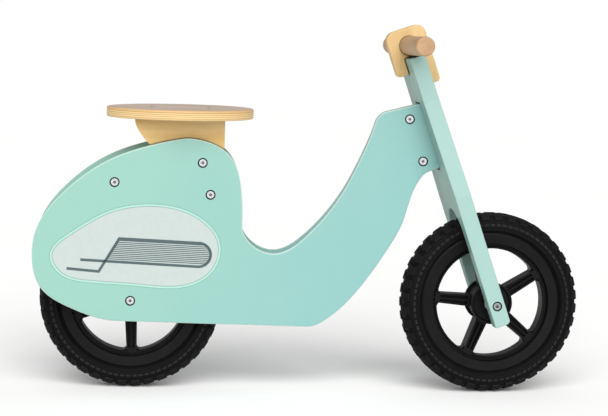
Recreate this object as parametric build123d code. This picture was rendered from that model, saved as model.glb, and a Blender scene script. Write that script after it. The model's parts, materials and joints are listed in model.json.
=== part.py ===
from build123d import *
import os
from math import atan, cos, radians, sin, sqrt, tan

os.makedirs("parts", exist_ok=True)

# A child's wooden balance bike. X is forward, Y is to the rider's left and Z is up. The origin is
# on the ground, half way between the axles, in the middle of the bike. All sizes are millimetres.
# The rest pose has the front end turned a little to the left.

# Layout
wheelbase = 538.0
wheel_radius = 135.0
rake = 19.3              # lean of the steering axis, back from vertical
rest_turn = 5.0          # steering angle of the rest pose, to the left

# Clearances
slip = 0.05              # a shaft in the bore that it turns in, on the radius
drill = 0.15             # a bolt or sleeve in the hole that it passes, on the radius
seated = 0.05            # glued or moulded pieces, on each side
running = 0.3            # between faces that move past each other

# Wheels
tyre_width = 45.0
tyre_depth = 35.0
rim_depth = 24.5
rim_width = 36.0
rim_wall = 2.5           # the inner ring, beside the groove round each face
rim_groove_width = 5.5
rim_groove_depth = 9.0
bead_width = 28.0
bead_height = 6.0
spoke_count = 5
spoke_root_width = 18.0
spoke_tip_width = 14.5
spoke_depth = 25.0
spoke_groove_depth = 7.0
spoke_wall = 2.6
spoke_root_fillet = 6.0
hub_radius = 31.7
hub_waist_radius = 28.0
hub_width = 49.0
hub_plate = 5.0
hub_dish_depth = 3.0
hub_boss_radius = 13.0
bush_radius = 8.0
bush_length = 16.0
bush_flange_radius = 11.0
bush_flange = 1.5
rear_spoke_angle = 272.0
front_spoke_angle = 12.0

# Axles and connector bolts
axle_radius = 4.0
bolt_radius = 3.0
sleeve_wall = 1.5
sleeve_length = 10.0
rear_sleeve_gap = 3.9    # from a bush's flange to the end of the axle's sleeve nut
front_sleeve_gap = 13.8
head_radius = 6.0
head_thickness = 2.4
recess_radius = 7.4
recess_depth = 3.2
socket_across = 4.0
socket_depth = 1.6
spacer_radius = 9.0
spotface_depth = 1.6

# Body panels
panel = 10.0             # thickness of each board
rear_half_gap = 40.0     # from the middle plane to a board's inner face, at the rear axle
bend_to_front_axle = 179.0
bend_radius = 260.0
panel_round = 1.8
footwell_corner = 12.0
shoulder_radius = 26.0
throat_radius = 25.0
toe_radius = 40.0
nose_round = 3.0
decal = 0.3

# Seat
seat_length = 217.0
seat_width = 152.0
seat_thickness = 15.0
seat_round = 2.5
seat_centre = 68.5       # ahead of the rear axle
seat_top_gap = 148.0     # seat's top above the top of the tyre
support_front = 134.5
support_rear = 2.5
support_drop = 130.0
screw_radius = 2.2
screw_head_radius = 4.5
screw_length = 45.0
screw_spread_x = 42.0
screw_spread_y = 14.0
dowel_radius = 14.0      # rear cross piece
dowel_reach = 28.0       # its clearance above the tyre

# Fork, in the steering frame: u forward, k to the left and v up along the steering axis
fork_thickness = 24.0
leg_half_width = 60.0
leg_width = 22.0
leg_below_axle = 31.0
leg_front_round = 6.0
top_half_width = 46.0
arch_clearance = 17.0    # top of the arch above the tyre
crown_height = 62.0      # from the top of the arch to the floor of the slot
slot_height = 107.0
slot_half_width = 17.0
slot_round = 2.0
neck_height = 67.0       # from the slot's ceiling to the top of the board
taper_above_arch = 20.0
fork_round = 1.5

# Steering bolt
steer_bolt_radius = 4.0
steer_head_radius = 8.0
steer_head_height = 5.0
steer_seat_depth = 5.0
steer_bolt_reach = 33.0  # past the slot's ceiling
barrel_radius = 6.0
barrel_length = 18.0
barrel_above_slot = 26.0
head_tube_wall = 2.0
washer_radius = 10.0
washer_thickness = 2.0

# Handlebar
yoke_width = 61.0
yoke_thickness = 15.0
yoke_above_bar = 26.5
yoke_round = 14.0
yoke_leg_round = 6.0
yoke_rear_leg = 24.0     # below the top of the fork
yoke_front_leg = 47.0
bar_above_fork = 17.0
bar_radius = 14.0
bar_length = 256.0
bar_round = 3.0
yoke_screw_radius = 2.5
yoke_screw_head = 4.8
yoke_screw_length = 53.0
yoke_screw_drops = (9.0, 22.0)

# Worked out from the sizes above
rear_x = -wheelbase / 2
front_x = wheelbase / 2
axle_z = wheel_radius
wheel_top = 2 * wheel_radius
slot_floor = wheel_radius + arch_clearance + crown_height
slot_ceiling = slot_floor + slot_height
fork_top = slot_ceiling + neck_height
bar_height = fork_top + bar_above_fork
hub_half = hub_width / 2 + bush_flange
rear_axle_point = Vector(rear_x, 0, axle_z)
steering = Pos(front_x, 0, axle_z) * Rot(0, -rake, 0) * Rot(0, 0, rest_turn)
straight_steering = Pos(front_x, 0, axle_z) * Rot(0, -rake, 0)


def save(name, shape, colour):
    shape.color = Color(colour)
    shape.label = name
    export_step(shape, f"parts/{name}.step")


def group(pieces):
    return Compound(children=list(pieces))


def rod(radius, low, high, axis=Axis.Z):
    """A cylinder from low to high along Z, or turned to run along another axis."""
    piece = Pos(0, 0, low) * Cylinder(radius, high - low, align=(Align.CENTER, Align.CENTER, Align.MIN))
    if axis == Axis.Y:
        return Rot(-90, 0, 0) * piece
    if axis == Axis.X:
        return Rot(0, 90, 0) * piece
    return piece


def cross_rod(radius, low, high):
    return rod(radius, low, high, Axis.Y)


# ---- body panels ----------------------------------------------------------------------------

bend_x = front_x - bend_to_front_axle
splay = atan(rear_half_gap / (bend_x - rear_x))


def half_gap(x):
    """Distance from the middle plane to a board's inner face, at x."""
    return max(0.0, (bend_x - x) * tan(splay))


def half_width(x):
    """Distance from the middle plane to a board's outer face, at x."""
    return max(panel, (bend_x - x) * tan(splay) + panel / cos(splay))


def low_point(x, z):
    """A point given from the rear axle."""
    return (rear_x + x, axle_z + z)


def high_point(x, z):
    """A point given from the rear axle in X and from the top of the tyre in Z."""
    return (rear_x + x, wheel_top + z)


def front_point(x, z):
    """A point given from the front axle."""
    return (front_x + x, axle_z + z)


def head_point(u, v):
    """A point given along the steering axis, from the floor of the fork's slot."""
    lean = radians(rake)
    height = slot_floor + v
    x = front_x + u * cos(lean) - height * sin(lean)
    z = axle_z + u * sin(lean) + height * cos(lean)
    return (x, z)


def head_direction(u, v):
    """A direction given along the steering axis."""
    return Vector(*head_point(u, v)) - Vector(*head_point(0, 0))


def panel_outline():
    """Side view of a body panel, in the XZ plane."""
    tail = [
        low_point(-22, -30), low_point(-86, -11), low_point(-131, 20), low_point(-143.5, 72),
        high_point(-137, -27), high_point(-107, 17), high_point(-52, 62.5), high_point(25, 94),
        high_point(81, 105),
    ]
    dome = [tail[-1], high_point(134, 88), high_point(149, 71), high_point(159, 41), high_point(163, -5)]
    footwell = [
        high_point(163, -27), high_point(175, -49), high_point(209, -65), high_point(263, -35),
        head_point(-149, 23), head_point(-116, 56), head_point(-88, 88), head_point(-74, 109),
    ]
    nose_top = head_point(8.5, 102)
    nose_bottom = head_point(8.5, 4)
    throat = [
        head_point(-33, 2.5), head_point(-64, -25), head_point(-86, -56), front_point(-154, 80),
        front_point(-188, 29), front_point(-223, -11), front_point(-265, -40.5),
    ]
    lines = [
        Spline(*tail, tangents=[(-1, 0.05), (1, 0)], tangent_scalars=[1, 0.5]),
        Spline(*dome, tangents=[(1, 0), (0, -1)], tangent_scalars=[0.7, 0.7]),
        Line(dome[-1], footwell[0]),
        Spline(*footwell),
        Line(footwell[-1], nose_top),
        Line(nose_top, nose_bottom),
        Line(nose_bottom, throat[0]),
        Spline(*throat),
        Line(throat[-1], tail[0]),
    ]
    face = make_face(Wire(lines))
    for corner, radius in (
        (footwell[0], footwell_corner), (footwell[-1], shoulder_radius), (nose_top, nose_round),
        (nose_bottom, nose_round), (throat[0], throat_radius), (throat[-1], toe_radius),
    ):
        nearest = face.vertices().sort_by_distance(Vector(*corner))[0]
        face = fillet(nearest, radius)
    return face


def side_prism(face, half_depth):
    """A face drawn in XZ, made into a prism both ways across the bike."""
    upright = Plane.XZ * face
    return extrude(upright, half_depth, both=True)


def plan_strip(inner, outer):
    """The plan of a board at the rider's right, from one distance to another past its inner face."""
    margin = 40
    nose = front_x + wheelbase
    tail = rear_x - wheel_radius - margin
    kink_shift = tan(splay / 2)
    inner_kink = (bend_x + inner * kink_shift, -inner)
    outer_kink = (bend_x + outer * kink_shift, -outer)
    inner_tail = -half_gap(tail) - inner / cos(splay)
    outer_tail = -half_gap(tail) - outer / cos(splay)
    corners = [(nose, -inner), inner_kink, (tail, inner_tail), (tail, outer_tail), outer_kink, (nose, -outer)]
    face = make_face(Polyline(*corners, close=True))
    kinks = face.vertices().filter_by(lambda v: abs(v.X - bend_x) < margin).sort_by(Axis.Y)
    face = fillet(kinks[0], bend_radius - outer)
    kinks = face.vertices().filter_by(lambda v: abs(v.X - inner_kink[0]) < 0.01)
    return fillet(kinks, bend_radius - inner)


def gap_wedge(back, front):
    """The space between the two panels, from one X to another, at full height."""
    at_back = half_gap(back) - seated
    at_front = half_gap(front) - seated
    corners = [(back, at_back), (back, -at_back), (front, -at_front), (front, at_front)]
    return extrude(make_face(Polyline(*corners, close=True)), 4 * wheel_radius)


def board(outline, inner, outer):
    strip = extrude(plan_strip(inner, outer), 4 * wheel_radius)
    return side_prism(outline, wheelbase) & strip


# Places of the cross bolts, in the side view
dowel_distance = wheel_radius + dowel_reach + dowel_radius
dowel_angle = radians(98.3)
dowel_place = low_point(dowel_distance * cos(dowel_angle), dowel_distance * sin(dowel_angle))
seat_bolt_places = [high_point(102.5, 69.5), high_point(115, 22.5)]
head_bolt_places = [head_point(-31, 86.5), head_point(-31, 20.3)]
body_bolt_places = [dowel_place, *seat_bolt_places, *head_bolt_places]
rear_axle_place = low_point(0, 0)


def cross_holes(place, radius):
    """The through hole and the two head recesses of a cross bolt."""
    x, z = place
    face = half_width(x)
    hole = cross_rod(radius, -2 * face, 2 * face)
    recess = cross_rod(recess_radius, face - recess_depth, 2 * face)
    return Pos(x, 0, z) * (hole + recess + mirror(recess, Plane.XZ))


def make_panels():
    outline = panel_outline()
    blank = board(outline, 0, panel)
    blank = fillet(blank.edges().filter_by(on_outer_rim), panel_round)
    for place in body_bolt_places:
        blank -= cross_holes(place, bolt_radius + sleeve_wall + drill)
    blank -= cross_holes(rear_axle_place, axle_radius + sleeve_wall + drill)
    seat = cross_rod(spacer_radius + drill, 0, spacer_reach)
    blank -= Pos(rear_axle_point) * mirror(seat, Plane.XZ)
    groove = rod(steer_bolt_radius + slip + head_tube_wall + seated, slot_floor - 20, slot_ceiling + 20)
    blank -= straight_steering * groove
    return blank, mirror(blank, Plane.XZ)


def on_outer_rim(edge):
    """True for an edge round the outer face of the right-hand board."""
    upright = abs((edge @ 0).X - (edge @ 1).X) < 0.01
    at_bend = abs(edge.center().X - bend_x) < bend_radius * splay
    points = [edge @ t for t in (0.0, 0.25, 0.5, 0.75, 1.0)]
    return all(near_outer_face(p) for p in points) and not (upright and at_bend)


def near_outer_face(point):
    bend_slack = 1.0 if abs(point.X - bend_x) < bend_radius * splay else 0.01
    return abs(-point.Y - half_width(point.X)) < bend_slack


spacer_reach = half_gap(rear_x) + spotface_depth

right, left = make_panels()
save("side_panel_right", right, "aquamarine")
save("side_panel_left", left, "aquamarine")


# ---- printed film on each panel -------------------------------------------------------------

def decal_outline():
    """A rounded egg, wide at the back."""
    edge = [
        low_point(-117.5, 67), low_point(-84, 104), low_point(-30, 134), low_point(33, 143),
        low_point(95, 127), low_point(131, 84), low_point(121, 42), low_point(85, 20),
        low_point(15, 22), low_point(-67, 30), low_point(-107, 43),
    ]
    return make_face(Spline(*edge, periodic=True))


film = board(decal_outline(), panel, panel + decal)
save("decal_right", film, "lightgray")
save("decal_left", mirror(film, Plane.XZ), "lightgray")


# ---- seat -----------------------------------------------------------------------------------

seat_top = wheel_top + seat_top_gap
seat_under = seat_top - seat_thickness
seat_x = rear_x + seat_centre


def screw(radius, head, length):
    """A countersunk wood screw along Z, with its flat head at the origin."""
    cone = Pos(0, 0, -head / 2) * Cone(radius, head, head, align=(Align.CENTER, Align.CENTER, Align.CENTER))
    shank = rod(radius, -length + radius * 2, -head / 2)
    tip = Pos(0, 0, -length) * Cone(0.4, radius, radius * 2, align=(Align.CENTER, Align.CENTER, Align.MIN))
    slot = Pos(0, 0, -0.6) * (Box(head, 1.1, 1.3) + Box(1.1, head, 1.3))
    return cone + shank + tip - slot


def screw_hole(radius, head, length):
    cone = Pos(0, 0, -head / 2) * Cone(radius + slip, head + slip, head)
    above = rod(head + slip, 0, head)
    return cone + above + rod(radius + slip, -length - slip, 0)


def four_places(x, y):
    return [(sx * x, sy * y) for sx in (-1, 1) for sy in (-1, 1)]


screw_places = [
    Pos(seat_x + x, y, seat_top) for x, y in four_places(screw_spread_x, screw_spread_y)
]
seat_holes = [place * screw_hole(screw_radius, screw_head_radius, screw_length) for place in screw_places]

seat_disc = extrude(Ellipse(seat_length / 2, seat_width / 2), seat_thickness)
seat_disc = fillet(seat_disc.edges(), seat_round)
seat = Pos(seat_x, 0, seat_under) * seat_disc - seat_holes
save("seat_board", seat, "burlywood")
screws = [place * screw(screw_radius, screw_head_radius, screw_length) for place in screw_places]
save("seat_screws", group(screws), "silver")


def make_support():
    """The wooden block that fills the space between the panels and carries the seat."""
    top = seat_under - axle_z
    front, rear, low = support_front, support_rear, top - support_drop
    corner = (rear_x + rear, seat_under)
    bulge = low_point(rear + 6.5, top - 19)
    hip = low_point(rear + 22, top - 38)
    curve = Spline(corner, bulge, hip, tangents=[(0, -1), (1, -1)])
    straight = Polyline(
        hip, low_point(rear + 60, top - 100), low_point(rear + 88, low), low_point(front, low),
        (rear_x + front, seat_under), corner,
    )
    block = side_prism(make_face((curve + straight).edges()), wheelbase)
    block &= gap_wedge(rear_x, rear_x + 1.5 * front)
    for x, z in seat_bolt_places:
        block -= Pos(x, 0, z) * cross_rod(bolt_radius + sleeve_wall + drill, -seat_width, seat_width)
    return block - seat_holes


save("seat_support", make_support(), "burlywood")


# ---- cross dowel behind the seat --------------------------------------------------------------

def splayed_plug(place, radius, bore):
    """A round cross piece between the panels, cut to their splay, with a bore."""
    x, z = place
    reach = half_width(x)
    plug = Pos(x, 0, z) * (cross_rod(radius, -reach, reach) - cross_rod(bore, -reach, reach))
    return plug & gap_wedge(x - 2 * radius, x + 2 * radius)


rear_dowel = splayed_plug(dowel_place, dowel_radius, bolt_radius + sleeve_wall + drill)
save("rear_cross_dowel", rear_dowel, "burlywood")


# ---- connector bolts ------------------------------------------------------------------------

def flange_head(outer):
    """A low round head with a hex socket, whose top is at y = -outer."""
    head = cross_rod(head_radius, -outer, -outer + head_thickness)
    rim = head.edges().filter_by(GeomType.CIRCLE).sort_by(Axis.Y)[0]
    head = chamfer(rim, 0.6)
    hexagon = RegularPolygon(socket_across / 2, 6, major_radius=False)
    socket = extrude(Plane.XZ * hexagon, socket_depth, both=True)
    return head - Pos(0, -outer, 0) * socket


def bolt_and_nut(half_span, radius, sleeve_end):
    """A bolt from the right, and the sleeve nut that it meets from the left, along Y."""
    top = half_span - recess_depth + head_thickness
    shank_end = top - head_thickness / 2 - 1
    seat_y = top - head_thickness
    shank = cross_rod(radius, -seat_y, shank_end - 1)
    bolt = flange_head(top) + shank
    barrel = cross_rod(radius + sleeve_wall, sleeve_end, seat_y)
    nut = mirror(flange_head(top), Plane.XZ) + barrel
    nut -= cross_rod(radius + slip, -half_span, shank_end)
    return bolt, nut


def set_of_bolts(places, radius, sleeve):
    bolts, nuts = [], []
    for x, z in places:
        half_span = half_width(x)
        bolt, nut = bolt_and_nut(half_span, radius, half_span - recess_depth - sleeve)
        bolts.append(Pos(x, 0, z) * bolt)
        nuts.append(Pos(x, 0, z) * nut)
    return bolts, nuts


bolts, nuts = set_of_bolts(body_bolt_places, bolt_radius, sleeve_length)
save("body_bolts", group(bolts), "silver")
save("body_sleeve_nuts", group(nuts), "silver")

rear_bolt, rear_nut = bolt_and_nut(half_width(rear_x), axle_radius, hub_half + rear_sleeve_gap)
save("rear_axle_bolt", Pos(rear_axle_point) * rear_bolt, "silver")
save("rear_axle_nut", Pos(rear_axle_point) * rear_nut, "silver")


def axle_spacers(reach):
    """The pair of spacers from the wheel's bushes out to a given distance."""
    inner = hub_half + running
    one = cross_rod(spacer_radius, inner, reach)
    one -= cross_rod(axle_radius + sleeve_wall + drill, inner, reach)
    return [one, mirror(one, Plane.XZ)]


rear_spacers = [Pos(rear_axle_point) * piece for piece in axle_spacers(spacer_reach - seated)]
save("rear_axle_spacers", group(rear_spacers), "black")


# ---- wheels, about the Y axis ---------------------------------------------------------------

bead_seat = wheel_radius - tyre_depth
rim_lip = bead_seat + bead_height
rim_inner = rim_lip - rim_depth
flange_inner = rim_inner + rim_wall + rim_groove_width


def ring(points):
    """A ring about the Y axis, from half of its section as (y, radius) points."""
    half = [(r, y) for y, r in points]
    other = [(r, -y) for r, y in reversed(half)]
    return revolve(Plane.XY * make_face(Polyline(*half, *other, close=True)), Axis.Y)


def make_rim():
    half = rim_width / 2
    bead = bead_width / 2
    inner_half = spoke_depth / 2
    hoop = ring([
        (inner_half - 1, rim_inner), (inner_half, rim_inner + 1), (inner_half, rim_inner + rim_wall),
        (half - rim_groove_depth, rim_inner + rim_wall + 1), (half - rim_groove_depth, flange_inner - 1),
        (half - 1, flange_inner), (half, rim_lip - 3), (half - 1.5, rim_lip), (bead, rim_lip),
        (bead, bead_seat),
    ])
    end = hub_width / 2
    dish = end - hub_dish_depth
    hub = ring([
        (end, 0), (end, hub_boss_radius), (dish, hub_boss_radius + 2), (dish, hub_radius - 5),
        (end, hub_radius - 3), (end - 1, hub_radius), (end - hub_plate, hub_radius),
        (end - hub_plate, hub_waist_radius),
    ])
    wheel = hoop + hub
    for i in range(spoke_count):
        wheel += Rot(0, -360 / spoke_count * i, 0) * spoke()
    corners = wheel.edges().filter_by(spoke_corner)
    wheel = fillet(corners, spoke_root_fillet)
    wheel -= cross_rod(axle_radius + slip + 1, -hub_width, hub_width)
    bush_bore = cross_rod(bush_radius, hub_width / 2 - bush_length, hub_width)
    return wheel - bush_bore - mirror(bush_bore, Plane.XZ)


def spoke():
    """A tapered spoke along X, with a groove down each side of a middle rib on both faces."""
    start = hub_waist_radius - 3
    end = rim_inner + 3
    root, tip = spoke_root_width / 2, spoke_tip_width / 2
    body = make_face(Polyline((start, -root), (end, -tip), (end, tip), (start, root), close=True))
    solid = side_prism(body, spoke_depth / 2)
    low, high = hub_radius + 3, rim_inner - 5
    rib = spoke_wall / 2
    web = Pos((high + flange_inner + 1) / 2, 0) * Rectangle(flange_inner + 1 - high, spoke_wall)
    solid += side_prism(web, spoke_depth / 2 - 1)
    groove = make_face(Polyline(
        (low, rib), (high, rib), (high, tip - spoke_wall), (low, root - spoke_wall), close=True,
    ))
    for face in (groove, mirror(groove, Plane.XZ)):
        pocket = side_prism(face, spoke_depth)
        pocket -= side_prism(face, spoke_depth / 2 - spoke_groove_depth)
        solid -= pocket
    return solid


def spoke_corner(edge):
    """True for the corners where the sides of the spokes meet the hoop."""
    along_axle = edge.length > spoke_depth / 2 and abs((edge @ 0).X - (edge @ 1).X) < 0.01
    middle = edge.center()
    radius = sqrt(middle.X ** 2 + middle.Z ** 2)
    return along_axle and abs(radius - rim_inner) < 0.5 and abs(middle.Y) < 0.01


def make_tyre():
    half = tyre_width / 2
    bead = bead_width / 2 - seated
    lip = rim_lip + seated
    edge = rim_width / 2
    section = [
        (bead, bead_seat + seated), (bead, lip), (edge - 1, lip), (edge + 1.5, lip + 1.5),
        (half - 0.5, lip + 7), (half, lip + 13), (half - 0.8, lip + 20), (half - 4, lip + 25.5),
        (half - 9, wheel_radius),
    ]
    return ring(section)


def make_bush():
    """One flanged bush, at the left end of the hub."""
    face = hub_width / 2
    bush = cross_rod(bush_radius - seated, face - bush_length + seated, face)
    bush += cross_rod(bush_flange_radius, face, hub_half)
    return bush - cross_rod(axle_radius + slip, 0, hub_half)


rim = make_rim()
tyre = make_tyre()
bush_pair = [make_bush(), mirror(make_bush(), Plane.XZ)]


def save_wheel(name, place):
    save(f"{name}_rim", place * rim, "dimgray")
    save(f"{name}_tyre", place * tyre, "black")
    save(f"{name}_hub_bushes", group([place * bush for bush in bush_pair]), "white")


save_wheel("rear", Pos(rear_axle_point) * Rot(0, -rear_spoke_angle, 0))
save_wheel("front", steering * Rot(0, -front_spoke_angle, 0))


# ---- fork, in the steering frame --------------------------------------------------------------

arch_top = wheel_radius + arch_clearance
arch_radius = leg_half_width - leg_width


def make_fork():
    taper_low = arch_top + taper_above_arch
    side = [
        (leg_half_width, -leg_below_axle), (leg_half_width, taper_low),
        (top_half_width, slot_ceiling), (top_half_width, fork_top),
    ]
    face = make_face(Polyline(*side, *[(-k, v) for k, v in reversed(side)], close=True))
    arch = Circle(arch_radius)
    arch += Rectangle(2 * arch_radius, 2 * fork_top, align=(Align.CENTER, Align.MAX))
    arch = Pos(0, arch_top - arch_radius) * arch
    slot = Pos(0, slot_floor) * RectangleRounded(
        2 * slot_half_width, slot_height, slot_round, align=(Align.CENTER, Align.MIN))
    face -= arch
    face -= slot
    fork = extrude(Plane.YZ * face, fork_thickness / 2, both=True)
    toes = fork.edges().filter_by(Axis.Y).group_by(Axis.Z)[0]
    front_toes = toes.filter_by(lambda e: e.center().X > 0)
    fork = fillet(front_toes, leg_front_round)
    outline = fork.edges().filter_by(on_board_edge)
    fork = fillet(outline, fork_round)
    return fork - fork_holes()


def on_board_edge(edge):
    """True for the edges round the outside and the arch of the fork board, on both faces."""
    middle = edge.center()
    on_face = abs(abs(middle.X) - fork_thickness / 2) < 0.01
    in_slot = slot_floor - 0.1 < middle.Z < slot_ceiling + 0.1 and abs(middle.Y) < slot_half_width + 0.1
    return on_face and not in_slot


def fork_holes():
    axle = cross_rod(axle_radius + sleeve_wall + drill, -leg_half_width, leg_half_width)
    recess = cross_rod(recess_radius, leg_half_width - recess_depth, 2 * leg_half_width)
    steer = rod(steer_bolt_radius + drill, arch_top - steer_seat_depth, slot_ceiling + steer_bolt_reach + 2)
    seat = rod(steer_head_radius + drill, arch_radius, arch_top + steer_seat_depth)
    barrel = rod(barrel_radius + seated, fork_thickness / 2 - barrel_length, fork_thickness, Axis.X)
    holes = axle + recess + mirror(recess, Plane.XZ) + steer + seat
    holes += Pos(0, 0, slot_ceiling + barrel_above_slot) * barrel
    for place in yoke_screw_places:
        holes += place * rod(yoke_screw_radius + slip, -yoke_screw_length, 0)
    return holes


yoke_screw_places = [
    Pos(yoke_width / 2, 0, fork_top - drop) * Rot(0, 90, 0) for drop in yoke_screw_drops
]
save("fork_board", steering * make_fork(), "aquamarine")

fork_bolt, fork_nut = bolt_and_nut(leg_half_width, axle_radius, hub_half + front_sleeve_gap)
save("front_axle_bolt", steering * fork_bolt, "silver")
save("front_axle_nut", steering * fork_nut, "silver")
fork_spacers = [steering * piece for piece in axle_spacers(arch_radius - seated)]
save("front_axle_spacers", group(fork_spacers), "black")


# ---- steering bolt, its tube in the head, and washers ----------------------------------------

def make_steering_bolt():
    seat_v = arch_top + steer_seat_depth
    head = rod(steer_head_radius, seat_v - steer_head_height, seat_v)
    head = chamfer(head.edges().filter_by(GeomType.CIRCLE).sort_by(Axis.Z)[0], 0.6)
    hexagon = extrude(RegularPolygon(3, 6, major_radius=False), 3)
    head -= Pos(0, 0, seat_v - steer_head_height) * hexagon
    return head + rod(steer_bolt_radius, seat_v, slot_ceiling + steer_bolt_reach)


def make_barrel_nut():
    half = fork_thickness / 2
    nut = rod(barrel_radius, half - barrel_length, half - 1, Axis.X)
    return nut - rod(steer_bolt_radius + slip, -2 * barrel_radius, 2 * barrel_radius)


save("steering_bolt", steering * make_steering_bolt(), "silver")
barrel_nut = Pos(0, 0, slot_ceiling + barrel_above_slot) * make_barrel_nut()
save("steering_barrel_nut", steering * barrel_nut, "silver")

tube_low = slot_floor + washer_thickness + running
tube_high = slot_ceiling - washer_thickness - running
head_tube = rod(steer_bolt_radius + slip + head_tube_wall, tube_low, tube_high)
head_tube -= rod(steer_bolt_radius + slip, tube_low, tube_high)
save("head_tube", straight_steering * head_tube, "silver")

washer = rod(washer_radius, 0, washer_thickness) - rod(steer_bolt_radius + drill, 0, washer_thickness)
washers = [
    steering * Pos(0, 0, slot_floor) * washer,
    steering * Pos(0, 0, slot_ceiling - washer_thickness) * washer,
]
save("steering_washers", group(washers), "white")


# ---- handlebar ------------------------------------------------------------------------------

def make_yoke():
    """An upside-down U that sits astride the top of the fork and holds the bar."""
    half = yoke_width / 2
    inner = fork_thickness / 2 + seated
    top = bar_height + yoke_above_bar
    rear, front = fork_top - yoke_rear_leg, fork_top - yoke_front_leg
    face = make_face(Polyline(
        (-half, rear), (-half, top), (half, top), (half, front), (inner, front),
        (inner, fork_top + seated), (-inner, fork_top + seated), (-inner, rear), close=True,
    ))
    corners = face.vertices()
    face = fillet(corners.filter_by(lambda v: abs(v.Y - top) < 0.01), yoke_round)
    feet = face.vertices().filter_by(lambda v: abs(abs(v.X) - half) < 0.01 and v.Y < fork_top)
    face = fillet(feet.filter_by(lambda v: v.Y < fork_top - yoke_rear_leg + 0.01), yoke_leg_round)
    yoke = side_prism(face, yoke_thickness / 2)
    outside = yoke.edges().filter_by(lambda e: abs(abs(e.center().Y) - yoke_thickness / 2) < 0.01)
    yoke = fillet(outside, fork_round)
    yoke -= Pos(0, 0, bar_height) * cross_rod(bar_radius + seated, -yoke_thickness, yoke_thickness)
    for place in yoke_screw_places:
        yoke -= place * screw_hole(yoke_screw_radius, yoke_screw_head, yoke_screw_length)
    return yoke


def make_bar():
    bar = cross_rod(bar_radius, -bar_length / 2, bar_length / 2)
    return fillet(bar.edges().filter_by(GeomType.CIRCLE), bar_round)


save("handlebar_yoke", steering * make_yoke(), "burlywood")
save("handlebar", steering * Pos(0, 0, bar_height) * make_bar(), "tan")
yoke_screws = [
    steering * place * screw(yoke_screw_radius, yoke_screw_head, yoke_screw_length)
    for place in yoke_screw_places
]
save("yoke_screws", group(yoke_screws), "silver")
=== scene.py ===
import json
from math import atan, cos, pi, radians, tan

import bpy
import numpy as np
from mathutils import Matrix, Vector


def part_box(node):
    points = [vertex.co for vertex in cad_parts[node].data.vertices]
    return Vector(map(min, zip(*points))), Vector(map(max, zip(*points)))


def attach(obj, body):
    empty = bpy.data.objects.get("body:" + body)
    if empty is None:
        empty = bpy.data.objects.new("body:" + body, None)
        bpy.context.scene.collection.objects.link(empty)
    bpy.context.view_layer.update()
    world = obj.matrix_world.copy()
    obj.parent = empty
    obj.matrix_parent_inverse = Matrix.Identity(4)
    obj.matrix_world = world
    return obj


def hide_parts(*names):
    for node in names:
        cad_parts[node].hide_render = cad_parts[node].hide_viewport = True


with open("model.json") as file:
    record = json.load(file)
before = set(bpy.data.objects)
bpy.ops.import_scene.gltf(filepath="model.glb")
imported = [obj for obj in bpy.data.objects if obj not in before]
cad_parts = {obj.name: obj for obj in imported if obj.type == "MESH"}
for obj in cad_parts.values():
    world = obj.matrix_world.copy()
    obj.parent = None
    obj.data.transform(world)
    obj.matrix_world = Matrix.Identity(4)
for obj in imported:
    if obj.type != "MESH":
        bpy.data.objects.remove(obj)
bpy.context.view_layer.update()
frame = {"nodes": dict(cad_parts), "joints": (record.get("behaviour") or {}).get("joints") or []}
nodes = frame["nodes"]
joints = {joint["name"]: joint for joint in frame["joints"]}
print("frame loaded:", len(nodes), "nodes")

millimetre = 0.001
rearAxle = Vector(joints["rear_wheel_spin"]["pos_m"])
frontAxle = Vector(joints["front_wheel_spin"]["pos_m"])
steerAxis = Vector(joints["steering"]["axis"]).normalized()  # up along the steering bolt
axleAxis = Vector(joints["front_wheel_spin"]["axis"]).normalized()  # along the front axle, to the left
forkForward = axleAxis.cross(steerAxis)  # square to the fork board


# Colours and shader nodes

def linear(hexColour):
    # each channel: the sRGB curve undone
    channels = []
    for i in (1, 3, 5):
        value = int(hexColour[i:i + 2], 16) / 255
        channels.append(value / 12.92 if value <= 0.04045 else ((value + 0.055) / 1.055) ** 2.4)
    return (*channels, 1.0)


def addNode(tree, kind, inputs=(), output=0, stops=(), **settings):
    # one node with its settings, giving one of its outputs
    # inputs go by name or in order, each a value or the socket that feeds it; stops are a ramp's colours
    node = tree.nodes.new("ShaderNode" + kind)
    for name, value in settings.items():
        setattr(node, name, value)
    pairs = inputs.items() if isinstance(inputs, dict) else enumerate(inputs)
    for name, value in pairs:
        if isinstance(value, bpy.types.NodeSocket):
            tree.links.new(value, node.inputs[name])
        else:
            node.inputs[name].default_value = value
    for _ in stops[2:]:
        node.color_ramp.elements.new(0.5)
    for i, (position, colour) in enumerate(stops):
        node.color_ramp.elements[i].position = position
        node.color_ramp.elements[i].color = linear(colour)
    return node.outputs[output] if node.outputs else node


def newMaterial(name):
    material = bpy.data.materials.new(name)
    material.use_nodes = True
    material.node_tree.nodes.clear()
    return material, material.node_tree, addNode(material.node_tree, "TexCoord", output="Object")


def coat(tree, inputs, bumps):
    # the finished surface; bumps are (height, depth in millimetres, strength), laid one on another
    for height, depth, strength in bumps:
        relief = {"Height": height, "Distance": depth * millimetre, "Strength": strength}
        if "Normal" in inputs:
            relief["Normal"] = inputs["Normal"]
        inputs["Normal"] = addNode(tree, "Bump", relief)
    surface = addNode(tree, "BsdfPrincipled", inputs)
    addNode(tree, "OutputMaterial", {"Surface": surface})


def mottle(tree, place, size, detail=3.0, stretch=(1, 1, 1)):
    # fractal spots about size millimetres wide, drawn out along the axis whose stretch is small
    stretched = addNode(tree, "Mapping", {"Vector": place, "Scale": stretch})
    return addNode(tree, "TexNoise", {
        "Vector": stretched, "Scale": 1 / (size * millimetre), "Detail": detail, "Roughness": 0.55})


def paintedCreviceShade(tree, reach, darkest, clearAt=0.85):
    # painted shade from ambient occlusion: 1 in the open, down to darkest in joints and sockets within reach
    # millimetres
    openness = addNode(tree, "AmbientOcclusion", {"Distance": reach * millimetre}, output="AO", samples=8)
    return addNode(tree, "MapRange", [openness, clearAt - 0.33, clearAt, darkest, 1.0])


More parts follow.
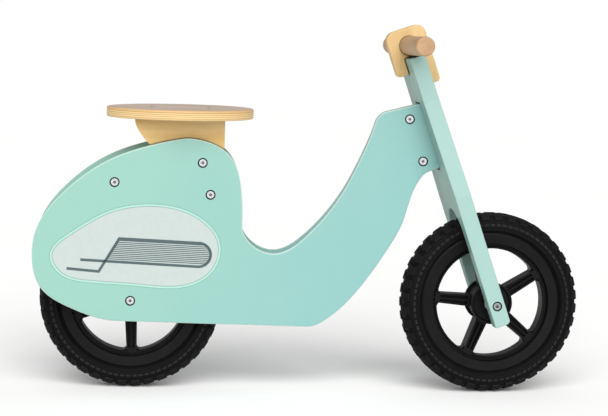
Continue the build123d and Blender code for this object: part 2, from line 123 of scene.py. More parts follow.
def boardFace(tree, direction, edgeLean=0.80, faceLean=0.93):
    # 1 on a board's broad faces, which are square to the direction, and 0 on its edges
    normal = addNode(tree, "TexCoord", output="Normal")
    turned = addNode(tree, "VectorMath", [normal, direction], output="Value", operation="DOT_PRODUCT")
    lean = addNode(tree, "Math", [turned], operation="ABSOLUTE")
    return addNode(tree, "MapRange", [lean, edgeLean, faceLean, 0.0, 1.0], interpolation_type="SMOOTHSTEP")


def shadeGrain(tree, colour, grain, low, high, shadow):
    # the colour, low to high times as bright from the grain's hollows to its ridges, and darkened by the
    # painted shade in crevices
    shade = addNode(tree, "MapRange", [grain, 0.25, 0.75, low, high])
    shade = addNode(tree, "Math", [shade, shadow], operation="MULTIPLY")
    return addNode(tree, "HueSaturation", {"Value": shade, "Color": colour})


# Painted boards

panelSizes = {
    "thickness": 10.0 * millimetre,
    "film": 0.3,  # proud of the panel, in plain millimetres
    "bendX": frontAxle.x - 179.0 * millimetre,  # where the two panels part
    "rearHalfGap": 40.0 * millimetre,
}
splay = atan(panelSizes["rearHalfGap"] / (panelSizes["bendX"] - rearAxle.x))

paint = {
    # patterns in millimetres
    "ply": 1.45,  # thickness of one layer
    "cloud": 143.0,
    "fibre": 2.4,
    "stipple": 0.7,  # left by the roller
    "wear": 17.0,
    "paintedLightAlong": (-1.2, 0, 0.6),  # painted light: from the shaded front foot of the body to the lit top of its tail
    "panel": {"lit": "#8cb8ab", "shaded": "#83b1ad", "edge": "#c4dbd2", "plyLine": "#a8c4b9"},
    # the fork is the same paint as the panels; its greyer, darker colours are painted shade for its rear face
    "fork": {"lit": "#8fb0a8", "shaded": "#8aaca4", "edge": "#98b9b2", "plyLine": "#94b5ae"},
}


def makePaint(name, colours, faceDirection, depthAlong, grainStretch):
    # rolled water-based paint on birch plywood: a soft sheen, faint grain, and paler edges with faint layers,
    # under painted light and painted shade
    material, tree, place = newMaterial(name)
    cloud = mottle(tree, place, paint["cloud"], 2.0)
    grain = mottle(tree, place, paint["fibre"], 4.0, grainStretch)
    stipple = mottle(tree, place, paint["stipple"], 2.0)
    wear = mottle(tree, place, paint["wear"], 4.0)

    # painted light: the faces pass from their shaded colour to their lit colour along the body, broken by a
    # cloud of tone
    paintedLight = addNode(tree, "VectorMath", [place, paint["paintedLightAlong"]], output="Value", operation="DOT_PRODUCT")
    paintedLight = addNode(tree, "Math", [cloud, 0.4, paintedLight], operation="MULTIPLY_ADD")
    faceColour = addNode(tree, "ValToRGB", [paintedLight], stops=[(0.25, colours["shaded"]), (0.7, colours["lit"])])

    layers = 2 * pi / (paint["ply"] * millimetre)
    plyWave = addNode(tree, "Math", [depthAlong(tree, place), layers], operation="MULTIPLY")
    plyWave = addNode(tree, "Math", [plyWave], operation="SINE")
    plyRib = addNode(tree, "MapRange", [plyWave, -0.2, 0.9, 0.0, 1.0])
    edgeColour = addNode(tree, "Mix", {0: plyRib, 6: linear(colours["edge"]), 7: linear(colours["plyLine"])},
                         output=2, data_type="RGBA")
    colour = addNode(tree, "Mix", {0: boardFace(tree, faceDirection), 6: edgeColour, 7: faceColour},
                     output=2, data_type="RGBA")
    coat(tree, {
        # painted shade in joints, gaps and bolt recesses
        "Base Color": shadeGrain(tree, colour, grain, 0.985, 1.01, paintedCreviceShade(tree, 4.0, 0.02, 0.97)),
        "Roughness": addNode(tree, "MapRange", [wear, 0.3, 0.7, 0.4, 0.52]),
        "IOR": 1.47,
        "Specular IOR Level": 0.42,
    }, [(grain, 0.03, 0.35), (stipple, 0.04, 0.3), (plyRib, 0.06, 0.4)])
    return material


def panelDepth(tree, place):
    # distance from a panel's inner face: |y| less half of the widening gap between the two panels
    x = addNode(tree, "SeparateXYZ", [place], output="X")
    y = addNode(tree, "SeparateXYZ", [place], output="Y")
    behind = addNode(tree, "Math", [panelSizes["bendX"], x], operation="SUBTRACT")
    gap = addNode(tree, "Math", [behind, tan(splay)], operation="MULTIPLY")
    gap = addNode(tree, "Math", [gap, 0.0], operation="MAXIMUM")
    out = addNode(tree, "Math", [y], operation="ABSOLUTE")
    return addNode(tree, "Math", [out, gap], operation="SUBTRACT")


def forkDepth(tree, place):
    # distance through the fork board, along its own forward direction
    return addNode(tree, "VectorMath", [place, tuple(forkForward)], output="Value", operation="DOT_PRODUCT")


panelPaint = makePaint("painted birch plywood panel", paint["panel"], (0, 1, 0), panelDepth, (0.06, 1, 1))
forkPaint = makePaint(
    "painted birch plywood fork", paint["fork"], tuple(forkForward), forkDepth, (1, 1, 0.06))
print("paint mixed")


# Bare wood

beech = {
    # patterns in millimetres; fibre and rays are coarser than in the wood, so that they show
    "figure": 18.0,
    "fibre": 1.1,
    "ray": 0.67,
    "block": {"dark": "#cba768", "middle": "#d4b275", "light": "#dcbe86", "fleck": "#b4904f"},
    "yoke": {"dark": "#c5a26c", "middle": "#cfae79", "light": "#d8b985", "fleck": "#b18d58"},
    "bar": {"dark": "#a6845f", "middle": "#b5926d", "light": "#c19f79", "fleck": "#8d6b48"},
}


def makeBeech(name, colours, grainStretch):
    # sawn and waxed beech: even, warm, with short dark ray flecks along the grain and a dull sheen, and
    # painted shade in joints
    material, tree, place = newMaterial(name)
    figure = mottle(tree, place, beech["figure"], 3.0, grainStretch)
    fibre = mottle(tree, place, beech["fibre"], 4.0, grainStretch)
    ray = mottle(tree, place, beech["ray"], 1.0, tuple(max(0.12, share) for share in grainStretch))
    colour = addNode(tree, "ValToRGB", [figure], stops=[
        (0.3, colours["dark"]), (0.5, colours["middle"]), (0.72, colours["light"])])
    flecks = addNode(tree, "MapRange", [ray, 0.62, 0.75, 0.0, 0.35])
    flecked = addNode(tree, "Mix", {0: flecks, 6: colour, 7: linear(colours["fleck"])},
                      output=2, data_type="RGBA")
    coat(tree, {
        # painted shade where the wood meets other parts
        "Base Color": shadeGrain(tree, flecked, fibre, 0.95, 1.04, paintedCreviceShade(tree, 3.5, 0.08)),
        "Roughness": addNode(tree, "MapRange", [fibre, 0.3, 0.7, 0.42, 0.58]),
        "IOR": 1.5,
        "Specular IOR Level": 0.4,
    }, [(fibre, 0.10, 0.4), (ray, 0.06, 0.3)])
    return material


blockBeech = makeBeech("waxed beech block", beech["block"], (0.05, 1, 1))
yokeBeech = makeBeech("waxed beech yoke", beech["yoke"], (1, 1, 0.05))
barBeech = makeBeech("waxed beech bar", beech["bar"], (1, 0.04, 1))

seat = {
    # patterns in millimetres
    "fibre": 1.4,
    "edgeFibre": 1.1,
    "figure": 33.0,
    "wobble": 40.0,
    "veneer": [(0.3, "#b8a391"), (0.5, "#c2ad9b"), (0.7, "#cab6a4")],
    # from the bottom of the board to the top: pale layers with dark glue lines between them
    "layers": [
        (0.0, "#d8b67c"), (0.16, "#e0c08a"), (0.19, "#8f6a3a"), (0.23, "#dab980"), (0.35, "#e2c592"),
        (0.385, "#8c6838"), (0.42, "#dab980"), (0.52, "#e2c592"), (0.56, "#94703f"), (0.6, "#dab87e"),
        (0.71, "#dfc08b"), (0.75, "#866236"), (0.79, "#cfab72"), (0.9, "#cca571"), (1.0, "#c39b6c")],
}


def makeSeatPly():
    # lacquered birch plywood: a pale face veneer, with light and dark layers round the edge, and painted
    # shade in joints
    material, tree, place = newMaterial("lacquered birch plywood")
    low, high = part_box("seat_board")
    face = boardFace(tree, (0, 0, 1), 0.85, 0.97)
    fibre = mottle(tree, place, seat["fibre"], 4.0, (0.05, 1, 1))
    edgeFibre = mottle(tree, place, seat["edgeFibre"], 3.0, (1, 1, 0.5))
    figure = mottle(tree, place, seat["figure"], 3.0, (0.2, 1, 1))
    veneer = addNode(tree, "ValToRGB", [figure], stops=seat["veneer"])

    height = addNode(tree, "SeparateXYZ", [place], output="Z")
    level = addNode(tree, "MapRange", [height, low.z, high.z, 0.0, 1.0])
    wobble = mottle(tree, place, seat["wobble"], 2.0, (1, 1, 0.2))
    wobble = addNode(tree, "MapRange", [wobble, 0.0, 1.0, -0.012, 0.012])
    level = addNode(tree, "Math", [level, wobble], operation="ADD")
    layers = addNode(tree, "ValToRGB", [level], stops=seat["layers"])

    colour = addNode(tree, "Mix", {0: face, 6: layers, 7: veneer}, output=2, data_type="RGBA")
    grain = addNode(tree, "Mix", {0: face, 6: edgeFibre, 7: fibre}, output=2, data_type="RGBA")
    coat(tree, {
        # painted shade where the seat meets other parts and round its screws
        "Base Color": shadeGrain(tree, colour, grain, 0.93, 1.06, paintedCreviceShade(tree, 3.5, 0.08)),
        "Roughness": addNode(tree, "MapRange", [fibre, 0.3, 0.7, 0.36, 0.5]),
        "IOR": 1.5,
        "Specular IOR Level": 0.45,
    }, [(fibre, 0.08, 0.4), (edgeFibre, 0.08, 0.3)])
    return material


seatPly = makeSeatPly()
print("woods ready")


# Metal, plastics and foam, with their patterns in millimetres

metals = {
    "crystal": 1.1,  # far coarser than real plating, so that it shows
    "rub": 0.38,
    "zinc": {"colours": ("#c9ccd0", "#e9ebed"), "roughness": 0.24, "scratch": 0.4},
    "steel": {"colours": ("#929a99", "#abb3b1"), "roughness": 0.34, "scratch": 0.5},
}
plastics = {
    "cloud": 25.0,
    "grit": 0.45,  # an eroded tool's stipple
    "rim": {"colours": ("#0d0c0e", "#131113"), "roughness": 0.42, "stipple": 0.06, "sheen": 0.12},
    "black": {"colours": ("#131315", "#1b1a1c"), "roughness": 0.5, "stipple": 0.05, "sheen": 0.2},
    "grey": {"colours": ("#8e8f90", "#a3a4a5"), "roughness": 0.5, "stipple": 0.05, "sheen": 0.4},
    "white": {"colours": ("#dcdcd8", "#ecebe6"), "roughness": 0.45, "stipple": 0.04, "sheen": 0.4},
}


def makeMetal(name, look):
    # zinc plate or ground steel: bright metal whose sheen breaks up in fine crystals and rubs, with painted
    # shade in sockets and round the heads
    material, tree, place = newMaterial(name)
    crystal = mottle(tree, place, metals["crystal"])
    rub = mottle(tree, place, metals["rub"], 2.0, (1, 0.2, 1))
    dull, bright = look["colours"]
    plate = addNode(tree, "ValToRGB", [crystal], stops=[(0.35, dull), (0.65, bright)])
    rough = look["roughness"]
    coat(tree, {
        # painted shade: dark sockets and a dark ring where the heads sit in their recesses
        "Base Color": addNode(tree, "HueSaturation", {"Value": paintedCreviceShade(tree, 3.0, 0.01), "Color": plate}),
        "Roughness": addNode(tree, "MapRange", [crystal, 0.3, 0.7, rough - 0.06, rough + 0.1]),
        "Metallic": 1.0,
    }, [(rub, 0.03, look["scratch"])])
    return material


def makePlastic(name, look):
    # moulded plastic: near-even colour under a fine stipple
    material, tree, place = newMaterial(name)
    cloud = mottle(tree, place, plastics["cloud"])
    grit = mottle(tree, place, plastics["grit"], 2.0)
    rough = look["roughness"]
    coat(tree, {
        "Base Color": addNode(tree, "ValToRGB", [cloud], stops=[
            (0.3, look["colours"][0]), (0.7, look["colours"][1])]),
        "Roughness": addNode(tree, "MapRange", [grit, 0.3, 0.7, rough - 0.05, rough + 0.08]),
        "IOR": 1.49,
        "Specular IOR Level": look["sheen"],
    }, [(grit, look["stipple"], 0.5), (cloud, 0.4, 0.15)])
    return material


foam = {
    "cell": 1.1,  # millimetres; coarser than in the foam, so that it shows
    "dust": 11.0,
    # from the hollows of the tread, through the lugs, to the blocks of the side ring: painted shade in the
    # hollows rising to a painted highlight on what stands proud
    "blacks": [(0.1, "#050405"), (0.3, "#0a090a"), (0.62, "#151314"), (0.9, "#222021"), (1.0, "#2c2a2b")],
}


def makeFoam():
    # moulded EVA foam: a matt black skin with tiny cells, greyer with dust, and greyer where it stands proud
    # as a painted highlight
    material, tree, place = newMaterial("EVA foam")
    cells = addNode(tree, "TexVoronoi", {"Vector": place, "Scale": 1 / (foam["cell"] * millimetre)},
                    output="Distance")
    dust = mottle(tree, place, foam["dust"], 5.0)
    # painted light: highest on the lugs, side blocks and lines, lowest in the shaded hollows
    paintedLightLevel = addNode(tree, "Attribute", output="Fac", attribute_name="paintedLightLevel")
    dustAndPaintedLight = addNode(tree, "Math", [dust, 0.35, paintedLightLevel], operation="MULTIPLY_ADD")
    coat(tree, {
        "Base Color": addNode(tree, "ValToRGB", [dustAndPaintedLight], stops=foam["blacks"]),
        "Roughness": addNode(tree, "MapRange", [dust, 0.3, 0.7, 0.5, 0.72]),
        "IOR": 1.45,
        "Specular IOR Level": 0.12,
    }, [(cells, 0.08, 0.4), (dust, 0.2, 0.2)])
    return material


zincPlate = makeMetal("zinc plate", metals["zinc"])
groundSteel = makeMetal("ground steel", metals["steel"])
blackRim = makePlastic("black polypropylene", plastics["rim"])
blackNylon = makePlastic("black nylon", plastics["black"])
greyNylon = makePlastic("grey nylon", plastics["grey"])
whiteNylon = makePlastic("white nylon", plastics["white"])
evaFoam = makeFoam()

nodeMaterials = {
    panelPaint: ["side_panel_right", "side_panel_left"],
    forkPaint: ["fork_board"],
    seatPly: ["seat_board"],
    blockBeech: ["seat_support", "rear_cross_dowel"],
    yokeBeech: ["handlebar_yoke"],
    barBeech: ["handlebar"],
    zincPlate: ["seat_screws", "yoke_screws", "body_bolts", "body_sleeve_nuts", "rear_axle_bolt",
                "rear_axle_nut", "front_axle_nut", "steering_bolt", "steering_barrel_nut"],
    groundSteel: ["head_tube", "front_axle_bolt"],
    blackNylon: ["rear_axle_spacers", "front_axle_spacers"],
    greyNylon: ["rear_hub_bushes", "front_hub_bushes"],
    whiteNylon: ["steering_washers"],
    blackRim: ["rear_rim", "front_rim"],
}
for material, names in nodeMaterials.items():
    for name in names:
        nodes[name].data.materials.clear()
        nodes[name].data.materials.append(material)
print("frame painted")


# Surfaces made here

def makePiece(name, points, faces, material, body, smoothAngle=35.0):
    # points are in metres, in the frame's own axes; faces are rows of point numbers
    mesh = bpy.data.meshes.new(name)
    mesh.from_pydata(points.reshape(-1, 3).tolist(), [], faces)
    mesh.polygons.foreach_set("use_smooth", np.ones(len(mesh.polygons), dtype=bool))
    mesh.set_sharp_from_angle(angle=radians(smoothAngle))
    mesh.materials.append(material)
    piece = bpy.data.objects.new(name, mesh)
    bpy.context.scene.collection.objects.link(piece)
    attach(piece, body)
    return piece


def addAttribute(piece, name, values):
    # one number at each point, for the material
    attribute = piece.data.attributes.new(name, "FLOAT", "POINT")
    attribute.data.foreach_set("value", values.ravel().astype(np.float32))


def gridFaces(rows, columns, closedRows=True):
    # quads of a grid whose columns close in a ring, and whose rows may
    row, column = np.meshgrid(np.arange(rows if closedRows else rows - 1), np.arange(columns), indexing="ij")
    nextRow, nextColumn = (row + 1) % rows, (column + 1) % columns
    corners = [row * columns + column, row * columns + nextColumn,
               nextRow * columns + nextColumn, nextRow * columns + column]
    return np.stack([corner.ravel() for corner in corners], axis=1)


def unit(vectors):
    return vectors / np.linalg.norm(vectors, axis=1)[:, None]


# Tyres, in millimetres and degrees: a section carried round the axle, with lugs raised along its own normal

tyre = {
    "radius": 135.0,
    "crownPower": 3.2,
    "side": (22.3, 113.0),  # half width, and radius where the side wall is widest
    "foot": (18.4, 106.8),  # where the side wall meets the rim
    "lip": (18.0, 106.05),
    "bead": (13.95, 100.05),
    "sectionPoints": 60,
    "pitches": 40,
    "turnSteps": [-0.12, 0.12, 0.78, 1.02, 1.75, 2.5, 3.25, 3.95],  # in each half pitch, close at lug ends
    "lugShare": 0.66,  # of a pitch
    "lugHeight": 2.2,
    "lean": 1.3,
    "leanReach": 12.0,
    "endWidth": 0.12,
    # round the section from the middle of the tread
    "centreLug": (0.9, 9.9),
    "shoulderLug": (11.4, 24.5),
    "shoulderStep": (16.2, 18.6),
    "stepDepth": 0.35,  # of the lug's height
    # the band along the shoulder that gets a painted highlight
    "paintedSheenBand": (13.0, 15.0),
    "sideStart": 20.0,
    # radii on the side wall
    "blockRing": (115.4, 119.6),
    "blockGap": 0.78,
    "blockHeight": 0.75,
    "lines": [(113.2, 114.6, 0.45), (109.6, 111.2, 0.55)],  # from, to and height
}


def halfSection(count):
    # crown: |k/a|^n + |(r-c)/b|^n = 1 from the middle to the widest point, then a quarter ellipse to the rim
    sideHalf, sideRadius = tyre["side"]
    footHalf, footRadius = tyre["foot"]
    crownHeight = tyre["radius"] - tyre["lugHeight"] - sideRadius
    t = np.linspace(0.0, pi / 2, 400)
    power = 2.0 / tyre["crownPower"]
    crownK = sideHalf * np.sin(t) ** power
    crownR = sideRadius + crownHeight * np.cos(t) ** power
    wallK = footHalf + (sideHalf - footHalf) * np.cos(t[1:])
    wallR = sideRadius - (sideRadius - footRadius) * np.sin(t[1:])
    k, r = np.concatenate([crownK, wallK]), np.concatenate([crownR, wallR])
    length = np.concatenate([[0.0], np.cumsum(np.hypot(np.diff(k), np.diff(r)))])
    even = np.linspace(0.0, length[-1], count)
    return np.interp(even, length, k), np.interp(even, length, r), even


def step(value, low, high, blur):
    # 1 between low and high, with ramps of width blur just inside
    return np.clip(np.minimum(value - low, high - value) / blur, 0.0, 1.0)


def tyreRelief(angle, s, r, leftSide):
    # how high the tread and the side wall stand, and how much painted highlight they get, at each angle and
    # section point
    pitch = 360.0 / tyre["pitches"]
    end = tyre["endWidth"]
    phase = np.mod(angle[:, None] + np.where(leftSide, pitch / 2, 0.0), pitch)
    lugEnds = step(phase, 0.0, tyre["lugShare"] * pitch + end, end)
    blockEnds = step(np.mod(angle[:, None], pitch / 2), tyre["blockGap"], pitch / 2, 2 * end)
    shoulder = step(s, *tyre["shoulderLug"], 1.0) - tyre["stepDepth"] * step(s, *tyre["shoulderStep"], 0.8)
    tread = np.maximum(step(s, *tyre["centreLug"], 0.9), shoulder) * lugEnds
    onSide = s > tyre["sideStart"]
    blocks = step(r, *tyre["blockRing"], 0.7) * onSide * blockEnds
    lines = onSide * sum(height * step(r, low, high, 0.6) for low, high, height in tyre["lines"])
    relief = tyre["lugHeight"] * tread + tyre["blockHeight"] * blocks + lines
    # painted highlight on the flanks of the lugs and along the shoulder band; the returned level lights up
    # the lugs, side blocks and lines against shaded hollows
    edges = tread * (1 - tread) * 4 + step(s, *tyre["paintedSheenBand"], 0.7) * tread * 0.5
    return relief, 0.35 * tread + 0.25 * edges + 0.75 * blocks + 0.6 * lines


def makeTyre(name, centre, sideways, forward, up, body):
    # each point: centre + radius (forward cos + up sin) + across sideways, from one bead over to the other
    k, r, s = halfSection(tyre["sectionPoints"])
    slopeK, slopeR = np.gradient(k, s), np.gradient(r, s)
    k = np.concatenate([-k[:0:-1], k])
    r = np.concatenate([r[:0:-1], r])
    s = np.concatenate([s[:0:-1], s])
    normalK = np.concatenate([slopeR[:0:-1], -slopeR])
    normalR = np.concatenate([slopeK[:0:-1], slopeK])

    halfPitch = 180.0 / tyre["pitches"]
    angle = (np.arange(2 * tyre["pitches"])[:, None] * halfPitch + np.array(tyre["turnSteps"])).ravel()
    relief, paintedLightLevel = tyreRelief(angle, s, r, k > 0)
    lipK, lipR = tyre["lip"]
    beadK, beadR = tyre["bead"]
    innerK = np.array([lipK, beadK, beadK, -beadK, -beadK, -lipK])
    innerR = np.array([lipR, lipR, beadR, beadR, lipR, lipR])
    turns = len(angle)
    across = np.concatenate([k + normalK * relief, np.tile(innerK, (turns, 1))], axis=1)
    radius = np.concatenate([r + normalR * relief, np.tile(innerR, (turns, 1))], axis=1)
    lean = tyre["lean"] * np.clip(s / tyre["leanReach"], 0.0, 1.0)
    lean = np.concatenate([lean, np.full(len(innerK), lean[-1])])

    theta = np.radians(angle[:, None] + lean)[..., None]
    spoke = np.cos(theta) * np.array(forward) + np.sin(theta) * np.array(up)
    offset = radius[..., None] * spoke + across[..., None] * np.array(sideways)
    points = np.array(centre) + millimetre * offset
    faces = gridFaces(turns, across.shape[1]).tolist()
    piece = makePiece(name, points, faces, evaFoam, body, 40.0)
    # the painted light level, for the foam's colour
    addAttribute(piece, "paintedLightLevel", np.concatenate([paintedLightLevel, np.zeros((turns, len(innerK)))], axis=1))
    return piece


straightAxes = (Vector((0, 1, 0)), Vector((1, 0, 0)), Vector((0, 0, 1)))
rearTyre = makeTyre("rearTyreTreaded", rearAxle, *straightAxes, "rear_wheel")
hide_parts("rear_tyre")
frontTyre = makeTyre("frontTyreTreaded", frontAxle, axleAxis, forkForward, steerAxis, "front_wheel")
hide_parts("front_tyre")
print("tyres moulded")


# Printed film, in millimetres: a thin plate inside a smooth closed outline

film = {
    "outline": [(-117.5, 67), (-84, 104), (-30, 134), (33, 143), (95, 127), (131, 84),
                (121, 44), (88, 22.5), (10, 22), (-62, 27.5), (-105, 42)],  # from the rear axle, in X and Z
    "spanPoints": 24,
    "border": 2.8,
    "line": 1.2,
    "insets": [0.0, 1.4, 2.8, 3.0, 4.0, 6.0],  # rows of points, in from the edge
    "innerShares": [0.66, 0.33],  # further rows, on the way to the middle
    "speck": 6.25,
    "ripple": 3.3,
    "borderColour": "#a2cdc0",
    "lineColour": "#8ba099",
    "fieldColour": "#b4bebb",
}
stripes = {
    "bentLine": [(-93, 48.2), (-46.5, 43.7), (-17.3, 92.3), (101.6, 86)],
    "tail": (-73.3, 61.1),  # where the second line comes back to
    "endCentre": (99.5, 68.3),
    "endRadius": 17.6,
    "endTurn": (83, -97),  # degrees
    "lineWidth": 4.0,
    "hatchWidth": 1.45,
    "hatches": 11,
    "hatchedHeight": 33.4,
    "ink": 0.12,
    "sunk": 0.02,
    "mottle": 0.83,
    "colours": ("#47575a", "#526263"),
}


def closedSpline(points, perSpan):
    # cubic spline through the points: over a span of length h, with the second derivatives a and b at its
    # ends, it is the straight line plus h^2/6 ((1-u)^3 - (1-u)) a + h^2/6 (u^3 - u) b
    p = np.array(points, float)
    chord = np.linalg.norm(np.roll(p, -1, 0) - p, axis=1)
    before = np.roll(chord, 1)
    system = np.diag(2 * (before + chord)) + np.roll(np.diag(chord), 1, 1) + np.roll(np.diag(before), -1, 1)
    slope = (np.roll(p, -1, 0) - p) / chord[:, None]
    bend = np.linalg.solve(system, 6 * (slope - np.roll(slope, 1, 0)))
    u = np.linspace(0, 1, perSpan, endpoint=False)[None, :, None]
    h = chord[:, None, None]
    first, last = p[:, None], np.roll(p, -1, 0)[:, None]
    bendFirst, bendLast = bend[:, None], np.roll(bend, -1, 0)[:, None]
    curved = ((1 - u) ** 3 - (1 - u)) * bendFirst + (u ** 3 - u) * bendLast
    return ((1 - u) * first + u * last + h ** 2 / 6 * curved).reshape(-1, 2)


def panelPoints(flat, proud, side):
    # flat is X and Z from the rear axle, in millimetres; the places given are in metres
    # y: the distance behind the bend times the splay's slope, plus the panel and what is proud of it
    x = rearAxle.x + flat[..., 0] * millimetre
    z = rearAxle.z + flat[..., 1] * millimetre
    thickness = panelSizes["thickness"] + proud * millimetre
    y = (panelSizes["bendX"] - x) * tan(splay) + thickness / cos(splay)
    return np.stack([x, side * y, z], axis=-1)


def makeFilmMaterial():
    # printed vinyl film: smooth, semi-gloss and pale, with a border ring and a thin line inside it
    material, tree, place = newMaterial("printed vinyl film")
    speck = mottle(tree, place, film["speck"], 4.0)
    ripple = mottle(tree, place, film["ripple"], 2.0)
    inset = addNode(tree, "Attribute", output="Fac", attribute_name="inset")
    bands = addNode(tree, "MapRange", [inset, 0.0, 10.0, 0.0, 1.0])
    border, lineEnd = film["border"] / 10, (film["border"] + film["line"]) / 10
    bands = addNode(tree, "ValToRGB", [bands], stops=[
        (0.0, film["borderColour"]), (border - 0.02, film["borderColour"]),
        (border, film["lineColour"]), (lineEnd - 0.02, film["lineColour"]),
        (lineEnd + 0.01, film["fieldColour"]), (1.0, film["fieldColour"])])
    shade = addNode(tree, "MapRange", [speck, 0.3, 0.7, 0.975, 1.02])
    coat(tree, {
        "Base Color": addNode(tree, "HueSaturation", {"Value": shade, "Color": bands}),
        "Roughness": addNode(tree, "MapRange", [speck, 0.3, 0.7, 0.3, 0.42]),
        "IOR": 1.46,
        "Specular IOR Level": 0.4,
    }, [(ripple, 0.04, 0.4)])
    return material


def makeInkMaterial():
    # screen-printed grey-green ink: matt, with a slightly broken surface
    material, tree, place = newMaterial("screen ink")
    broken = mottle(tree, place, stripes["mottle"])
    coat(tree, {
        "Base Color": addNode(tree, "ValToRGB", [broken], stops=[
            (0.3, stripes["colours"][0]), (0.7, stripes["colours"][1])]),
        "Roughness": addNode(tree, "MapRange", [broken, 0.3, 0.7, 0.45, 0.65]),
        "IOR": 1.5,
        "Specular IOR Level": 0.3,
    }, [(broken, 0.03, 0.3)])
    return material


vinylFilm = makeFilmMaterial()
screenInk = makeInkMaterial()


def makeFilm(name, side):
    # the outline moved inwards along its normal, then scaled to the middle, with the same edge underneath
    outline = closedSpline(film["outline"], film["spanPoints"])
    ahead = unit(np.roll(outline, -1, 0) - np.roll(outline, 1, 0))
    inward = np.stack([ahead[:, 1], -ahead[:, 0]], axis=1)
    middle = outline.mean(0)
    rows = [outline + inward * inset for inset in film["insets"]]
    rows += [middle + (rows[-1] - middle) * share for share in film["innerShares"]]
    top = panelPoints(np.stack(rows), panelSizes["film"], side)
    under = panelPoints(outline[None], 0.0, side)
    poles = [panelPoints(middle[None, None], proud, side)[0] for proud in (panelSizes["film"], 0.0)]
    count, ringCount = len(outline), len(rows) + 1
    points = np.concatenate([under.reshape(-1, 3), top.reshape(-1, 3), *poles])

    here = np.arange(count)
    following = (here + 1) % count
    inner = (ringCount - 1) * count
    peak, base = np.full(count, ringCount * count), np.full(count, ringCount * count + 1)
    rings = gridFaces(ringCount, count, closedRows=False)
    topFan = np.stack([inner + here, inner + following, peak], axis=1)
    underFan = np.stack([following, here, base], axis=1)
    faces = rings.tolist() + topFan.tolist() + underFan.tolist()
    if side < 0:
        faces = [face[::-1] for face in faces]
    piece = makePiece(name, points, faces, vinylFilm, "frame")
    insets = [0.0, *film["insets"], *[10.0] * len(film["innerShares"])]
    addAttribute(piece, "inset", np.concatenate([np.repeat(insets, count), [10.0, 10.0]]))
    return piece


def ribbon(path, width):
    # both sides of a path at half the width, square to it and mitred at its corners
    path = np.array(path, float)
    run = unit(np.diff(path, axis=0))
    normal = np.stack([-run[:, 1], run[:, 0]], axis=1)
    mitre = unit(np.concatenate([normal[:1], normal[:-1] + normal[1:], normal[-1:]]))
    stretch = np.concatenate([[1.0], (mitre[1:-1] * normal[1:]).sum(1), [1.0]])
    reach = mitre * (width / 2 / stretch)[:, None]
    return path + reach, path - reach


def stripePaths():
    # one bent line that goes round a half circle and back, and thin lines that fill the space between
    start, foot, corner, far = np.array(stripes["bentLine"], float)
    centre, radius = np.array(stripes["endCentre"]), stripes["endRadius"]
    turn = np.radians(np.linspace(*stripes["endTurn"], 19))
    roundEnd = centre + radius * np.stack([np.cos(turn), np.sin(turn)], axis=1)
    paths = [(np.vstack([start, foot, corner, roundEnd, stripes["tail"]]), stripes["lineWidth"])]
    fall = (far[1] - corner[1]) / (far[0] - corner[0])
    rise = (corner[1] - foot[1]) / (corner[0] - foot[0])
    for drop in np.arange(1, stripes["hatches"] + 1) * stripes["hatchedHeight"] / (stripes["hatches"] + 1):
        left = corner[0] - (drop - 0.5) / rise
        right = centre[0] + (radius ** 2 - (radius - drop) ** 2) ** 0.5
        ends = np.array([left, right])
        heights = corner[1] - drop + fall * (ends - corner[0])
        paths.append((np.stack([ends, heights], axis=1), stripes["hatchWidth"]))
    return paths


def makeStripes(name, side):
    # each line is a bar with four corners, sunk a hair into the film, with its ends closed
    low, high = panelSizes["film"] - stripes["sunk"], panelSizes["film"] + stripes["ink"]
    points, faces, start = [], [], 0
    for path, width in stripePaths():
        left, right = ribbon(path, width)
        bar = [panelPoints(left, low, side), panelPoints(left, high, side),
               panelPoints(right, high, side), panelPoints(right, low, side)]
        points.append(np.stack(bar, axis=1).reshape(-1, 3))
        count = len(path)
        faces += (gridFaces(count, 4, closedRows=False) + start).tolist()
        faces.append([start + 3, start + 2, start + 1, start])
        faces.append([start + 4 * count - 4 + corner for corner in range(4)])
        start += 4 * count
    if side > 0:
        faces = [face[::-1] for face in faces]
    return makePiece(name, np.concatenate(points), faces, screenInk, "frame")


for sideName, side in (("Right", -1), ("Left", 1)):
    piece = makeFilm("film" + sideName, side)
    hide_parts("decal_" + sideName.lower())
    makeStripes("stripes" + sideName, side)
print("film printed")


# Studio: a pale floor, one broad soft light from the right side of the bike, and white surroundings

studio = {
    "floorHalf": 120.0,
    "floorHeight": -0.0006,
    "unevenness": 333.0,  # millimetres
    "floorColours": ("#f9f9f8", "#fcfcfb"),
    "sunTowards": (0.02, -0.78, 0.62),
    "sunStrength": 3.2,
    "sunAngle": 60.0,
    "surroundings": 0.42,
}
view = {
    "target": (-0.0132, 0.0, 0.2714),
    "distance": 3.0288,
    "heading": 4.04,  # degrees from square on, towards the front of the bike
    "dip": 6.57,
    "roll": 1.56,
    "lens": 120.0,
}


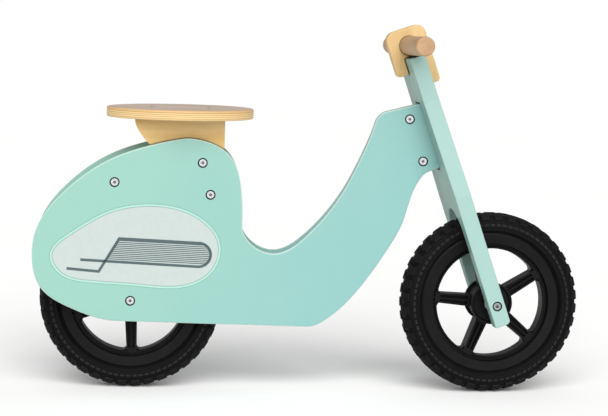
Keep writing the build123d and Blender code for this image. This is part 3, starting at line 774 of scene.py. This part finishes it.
def makeFloorMaterial():
    # matt white paper sweep, with a trace of unevenness
    material, tree, place = newMaterial("paper sweep")
    soft = mottle(tree, place, studio["unevenness"], 2.0)
    coat(tree, {
        "Base Color": addNode(tree, "ValToRGB", [soft], stops=[
            (0.3, studio["floorColours"][0]), (0.7, studio["floorColours"][1])]),
        "Roughness": 1.0,
        "Specular IOR Level": 0.0,
    }, [(soft, 0.5, 0.2)])
    return material


reach = studio["floorHalf"]
floorMesh = bpy.data.meshes.new("floor")
floorCorners = [(-reach, -reach, 0), (reach, -reach, 0), (reach, reach, 0), (-reach, reach, 0)]
floorMesh.from_pydata(floorCorners, [], [(0, 1, 2, 3)])
floorMesh.materials.append(makeFloorMaterial())
floor = bpy.data.objects.new("floor", floorMesh)
floor.location.z = studio["floorHeight"]
bpy.context.scene.collection.objects.link(floor)

sun = bpy.data.lights.new("softbox", "SUN")
sun.energy = studio["sunStrength"]
sun.angle = radians(studio["sunAngle"])
sunObject = bpy.data.objects.new("softbox", sun)
sunObject.rotation_euler = Vector(studio["sunTowards"]).to_track_quat("Z", "Y").to_euler()
bpy.context.scene.collection.objects.link(sunObject)

world = bpy.data.worlds.new("studio")
world.use_nodes = True
world.node_tree.nodes["Background"].inputs["Color"].default_value = (1, 1, 1, 1)
world.node_tree.nodes["Background"].inputs["Strength"].default_value = studio["surroundings"]
bpy.context.scene.world = world
bpy.context.scene.view_settings.view_transform = "Standard"

camera = bpy.data.cameras.new("camera")
camera.lens = view["lens"]
camera.sensor_width = 36.0
camera.clip_end = 500.0
cameraObject = bpy.data.objects.new("camera", camera)
turn = Matrix.Rotation(radians(-view["heading"]), 4, "Z") @ Matrix.Rotation(radians(90 - view["dip"]), 4, "X")
turn = turn @ Matrix.Rotation(radians(view["roll"]), 4, "Z")
backOff = Matrix.Translation(Vector(view["target"]) + turn.to_3x3() @ Vector((0, 0, view["distance"])))
cameraObject.matrix_world = backOff @ turn
bpy.context.scene.collection.objects.link(cameraObject)
bpy.context.scene.camera = cameraObject

print("studio lit")
